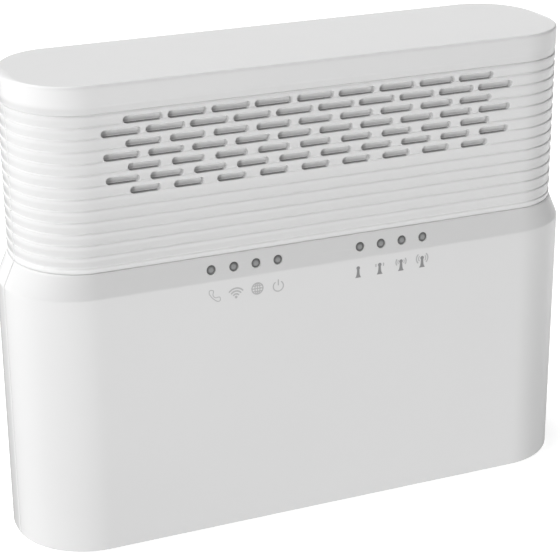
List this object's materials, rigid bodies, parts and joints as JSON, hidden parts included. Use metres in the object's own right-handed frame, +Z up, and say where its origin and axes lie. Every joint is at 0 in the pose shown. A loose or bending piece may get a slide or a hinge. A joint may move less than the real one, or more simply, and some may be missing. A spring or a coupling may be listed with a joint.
{
  "type": "wireless home gateway",
  "caption": "Upright white home gateway with a ribbed, slotted upper half, a sloped band of round indicator windows and a plain lower half; rear sockets and buttons.",
  "frame": {"origin": "on the floor under the middle of the case, at the underside of the feet", "axes": "+Z up, -Y out of the front with the indicators, +Y out of the socket side, +X to the right seen from the front, along the width"},
  "size_m": [0.1802, 0.0474, 0.1426],
  "materials": {
    "cap_plastic": "satin moulded, very fine texture",
    "vent_plastic": "satin moulded, very fine texture",
    "case_plastic": "satin moulded, very fine texture",
    "base_plastic": "satin moulded",
    "panel_plastic": "satin moulded",
    "baffle_plastic": "plain moulded",
    "foot_rubber": "matt",
    "screw_steel": "zinc plated",
    "board_laminate": "solder mask over glass laminate",
    "guide_clear": "smoky clear",
    "diode_lens": "clear",
    "can_tin": "tin plated",
    "sink_aluminium": "extruded",
    "pad_silicone": "soft",
    "switch_plastic": "moulded",
    "jack_plastic": "moulded",
    "button_plastic": "moulded",
    "transformer_body": "moulded",
    "capacitor_sleeve": "printed sleeve, blank",
    "sim_plastic": "blank",
    "label_film": "blank",
    "antenna_metal": "stamped sheet",
    "coax_jacket": "fluoropolymer"
  },
  "bodies": {
    "case": {"antenna_lead_main": "coax_jacket", "antenna_lead_second": "coax_jacket", "base_plate": "base_plastic", "base_screw_front_left": "screw_steel", "base_screw_front_right": "screw_steel", "base_screw_rear_left": "screw_steel", "base_screw_rear_right": "screw_steel", "board_screw_lower_left": "screw_steel", "board_screw_lower_right": "screw_steel", "board_screw_upper_left": "screw_steel", "board_screw_upper_right": "screw_steel", "capacitor_1": "capacitor_sleeve", "capacitor_2": "capacitor_sleeve", "cellular_antenna_main": "antenna_metal", "cellular_antenna_second": "antenna_metal", "foot_front_left": "foot_rubber", "foot_front_right": "foot_rubber", "foot_rear_left": "foot_rubber", "foot_rear_right": "foot_rubber", "front_cover": "case_plastic", "heat_sink": "sink_aluminium", "indicator_diode_1": "diode_lens", "indicator_diode_2": "diode_lens", "indicator_diode_3": "diode_lens", "indicator_diode_4": "diode_lens", "indicator_diode_5": "diode_lens", "indicator_diode_6": "diode_lens", "indicator_diode_7": "diode_lens", "indicator_diode_8": "diode_lens", "light_guide_left": "guide_clear", "light_guide_right": "guide_clear", "line_transformer": "transformer_body", "main_board": "board_laminate", "network_socket_1": "jack_plastic", "network_socket_2": "jack_plastic", "network_transformer": "transformer_body", "pairing_switch": "switch_plastic", "port_panel": "panel_plastic", "power_socket": "jack_plastic", "power_switch": "switch_plastic", "rating_label": "label_film", "rear_cover": "case_plastic", "reset_switch": "switch_plastic", "shield_can_cellular": "can_tin", "shield_can_processor": "can_tin", "shield_can_wireless": "can_tin", "sim_socket": "can_tin", "telephone_socket": "jack_plastic", "thermal_pad": "pad_silicone", "top_cap": "cap_plastic", "vent_baffle": "baffle_plastic", "vent_cover_front": "vent_plastic", "vent_cover_rear": "vent_plastic", "wireless_antenna_1": "antenna_metal", "wireless_antenna_2": "antenna_metal"},
    "power_key": {"power_button": "button_plastic"},
    "pairing_key": {"pairing_button": "button_plastic"},
    "reset_key": {"reset_pin": "switch_plastic"},
    "card": {"sim_card": "sim_plastic"}
  },
  "joints": [
    {"name": "power_press", "type": "slide", "parent": "case", "child": "power_key", "axis": [0, -1, 0], "range_m": [0, 0.002]},
    {"name": "pairing_press", "type": "slide", "parent": "case", "child": "pairing_key", "axis": [0, -1, 0], "range_m": [0, 0.0006]},
    {"name": "reset_press", "type": "slide", "parent": "case", "child": "reset_key", "axis": [0, -1, 0], "range_m": [0, 0.0003]},
    {"name": "sim_eject", "type": "slide", "parent": "case", "child": "card", "axis": [1, 0, 0], "range_m": [-0.0008, 0.026]}
  ]
}
